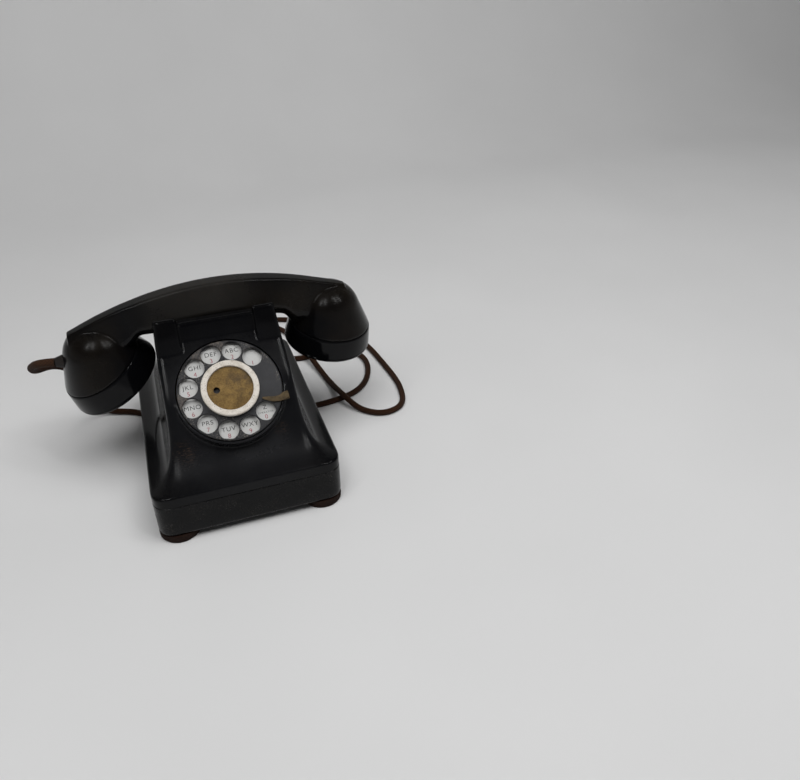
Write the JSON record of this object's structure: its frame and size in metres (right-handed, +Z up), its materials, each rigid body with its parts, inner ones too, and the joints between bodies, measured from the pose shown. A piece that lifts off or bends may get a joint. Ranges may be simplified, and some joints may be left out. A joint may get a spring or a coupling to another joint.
{
  "type": "rotary dial desk telephone",
  "caption": "Black desk telephone with a rotary dial on a sloping face, a handset resting across a horned cradle, and a brown braided cord.",
  "frame": {"origin": "middle of the telephone's footprint, handset included and cord left out, on the table top under the feet", "axes": "+X to the right of a person facing the dial, +Y to the back, +Z up"},
  "size_m": [0.3091, 0.3201, 0.1547],
  "materials": {
    "black_moulding": "worn gloss",
    "black_enamel": "satin, speckled wear",
    "plate_enamel": "white enamel with printed figures",
    "ring_cream": "chipped off-white",
    "aged_brass": "mottled, dull",
    "clean_brass": "satin",
    "plain_steel": "satin",
    "brown_leather": "worn",
    "brown_braid": "woven cotton",
    "dark_rubber": "matt",
    "varnished_winding": "varnished wire",
    "brown_fibre": "pressed fibre",
    "grey_can": "dull",
    "magnet_grey": "painted"
  },
  "bodies": {
    "telephone": {"housing": "black_moulding", "base_pan": "black_enamel", "feet": "brown_leather", "foot_rivets": "clean_brass", "housing_screws": "plain_steel", "dial_case": "black_enamel", "number_plate": "plate_enamel", "finger_stop": "aged_brass", "dial_frame": "clean_brass", "dial_screws": "plain_steel", "governor_cup": "clean_brass", "return_spring": "plain_steel", "pulse_springs": "clean_brass", "hook_pivot": "plain_steel", "switch_bracket": "plain_steel", "contact_springs": "clean_brass", "ringer_frame": "plain_steel", "ringer_coils": "varnished_winding", "ringer_cores": "plain_steel", "ringer_magnet": "magnet_grey", "gong_left": "clean_brass", "gong_right": "clean_brass", "gong_screws": "plain_steel", "clapper_pivot": "plain_steel", "induction_coil": "varnished_winding", "condenser": "grey_can", "terminal_board": "brown_fibre", "terminal_screws": "clean_brass", "cord_grommet": "dark_rubber", "line_grommet": "dark_rubber", "handset_cord": "brown_braid"},
    "dial_wheel": {"finger_wheel": "black_enamel", "card_ring": "ring_cream", "card_plate": "aged_brass", "main_shaft": "plain_steel", "main_gear": "clean_brass"},
    "pulse_spindle": {"pulse_wheel": "clean_brass"},
    "governor_spindle": {"governor": "plain_steel"},
    "left_plunger": {"plunger_left": "black_moulding"},
    "right_plunger": {"plunger_right": "black_moulding"},
    "switch_lever": {"hook_lever": "plain_steel"},
    "bell_clapper": {"clapper": "plain_steel"},
    "handset": {"handset_body": "black_moulding", "mouth_cap": "black_moulding", "ear_cap": "black_moulding", "mouth_capsule": "grey_can", "ear_capsule": "grey_can", "mouth_ring": "clean_brass", "ear_ring": "clean_brass", "cord_bush": "dark_rubber"}
  },
  "joints": [
    {"name": "dial_turn", "type": "hinge", "parent": "telephone", "child": "dial_wheel", "pos_m": [-0.00429, -0.0543, 0.094], "axis": [0, -0.6704, 0.742], "range_deg": [-325, 0], "stiffness_Nm_per_rad": 0.004, "springref_deg": 34.38},
    {"name": "pulse_turn", "type": "hinge", "parent": "telephone", "child": "pulse_spindle", "pos_m": [-0.03135, -0.06161, 0.0874], "axis": [0, -0.6704, 0.742], "range_deg": [-1, 1626]},
    {"name": "governor_turn", "type": "hinge", "parent": "telephone", "child": "governor_spindle", "pos_m": [-0.02689, -0.05538, 0.09302], "axis": [0, -0.6704, 0.742], "range_deg": [-6100, 1]},
    {"name": "handset_lift", "type": "slide", "parent": "telephone", "child": "handset", "axis": [0, 0, 1], "range_m": [0, 0.12]},
    {"name": "left_plunger_rise", "type": "slide", "parent": "telephone", "child": "left_plunger", "axis": [0, 0, 1], "range_m": [0, 0.0061]},
    {"name": "right_plunger_rise", "type": "slide", "parent": "telephone", "child": "right_plunger", "axis": [0, 0, 1], "range_m": [0, 0.0061]},
    {"name": "lever_swing", "type": "hinge", "parent": "telephone", "child": "switch_lever", "pos_m": [-0.00429, 0.034, 0.0988], "axis": [-1, 0, 0], "range_deg": [0, 12.6]},
    {"name": "clapper_swing", "type": "hinge", "parent": "telephone", "child": "bell_clapper", "pos_m": [-0.00429, 0.048, 0.038], "axis": [0, 0, 1], "range_deg": [-4, 4]}
  ],
  "couplings": [
    {"joint": "pulse_turn", "follows": "dial_turn", "ratio": -5},
    {"joint": "governor_turn", "follows": "dial_turn", "ratio": 18.75},
    {"joint": "left_plunger_rise", "follows": "handset_lift", "ratio": 0.05},
    {"joint": "right_plunger_rise", "follows": "handset_lift", "ratio": 0.05},
    {"joint": "lever_swing", "follows": "handset_lift", "rad_per_m": 1.8225}
  ]
}
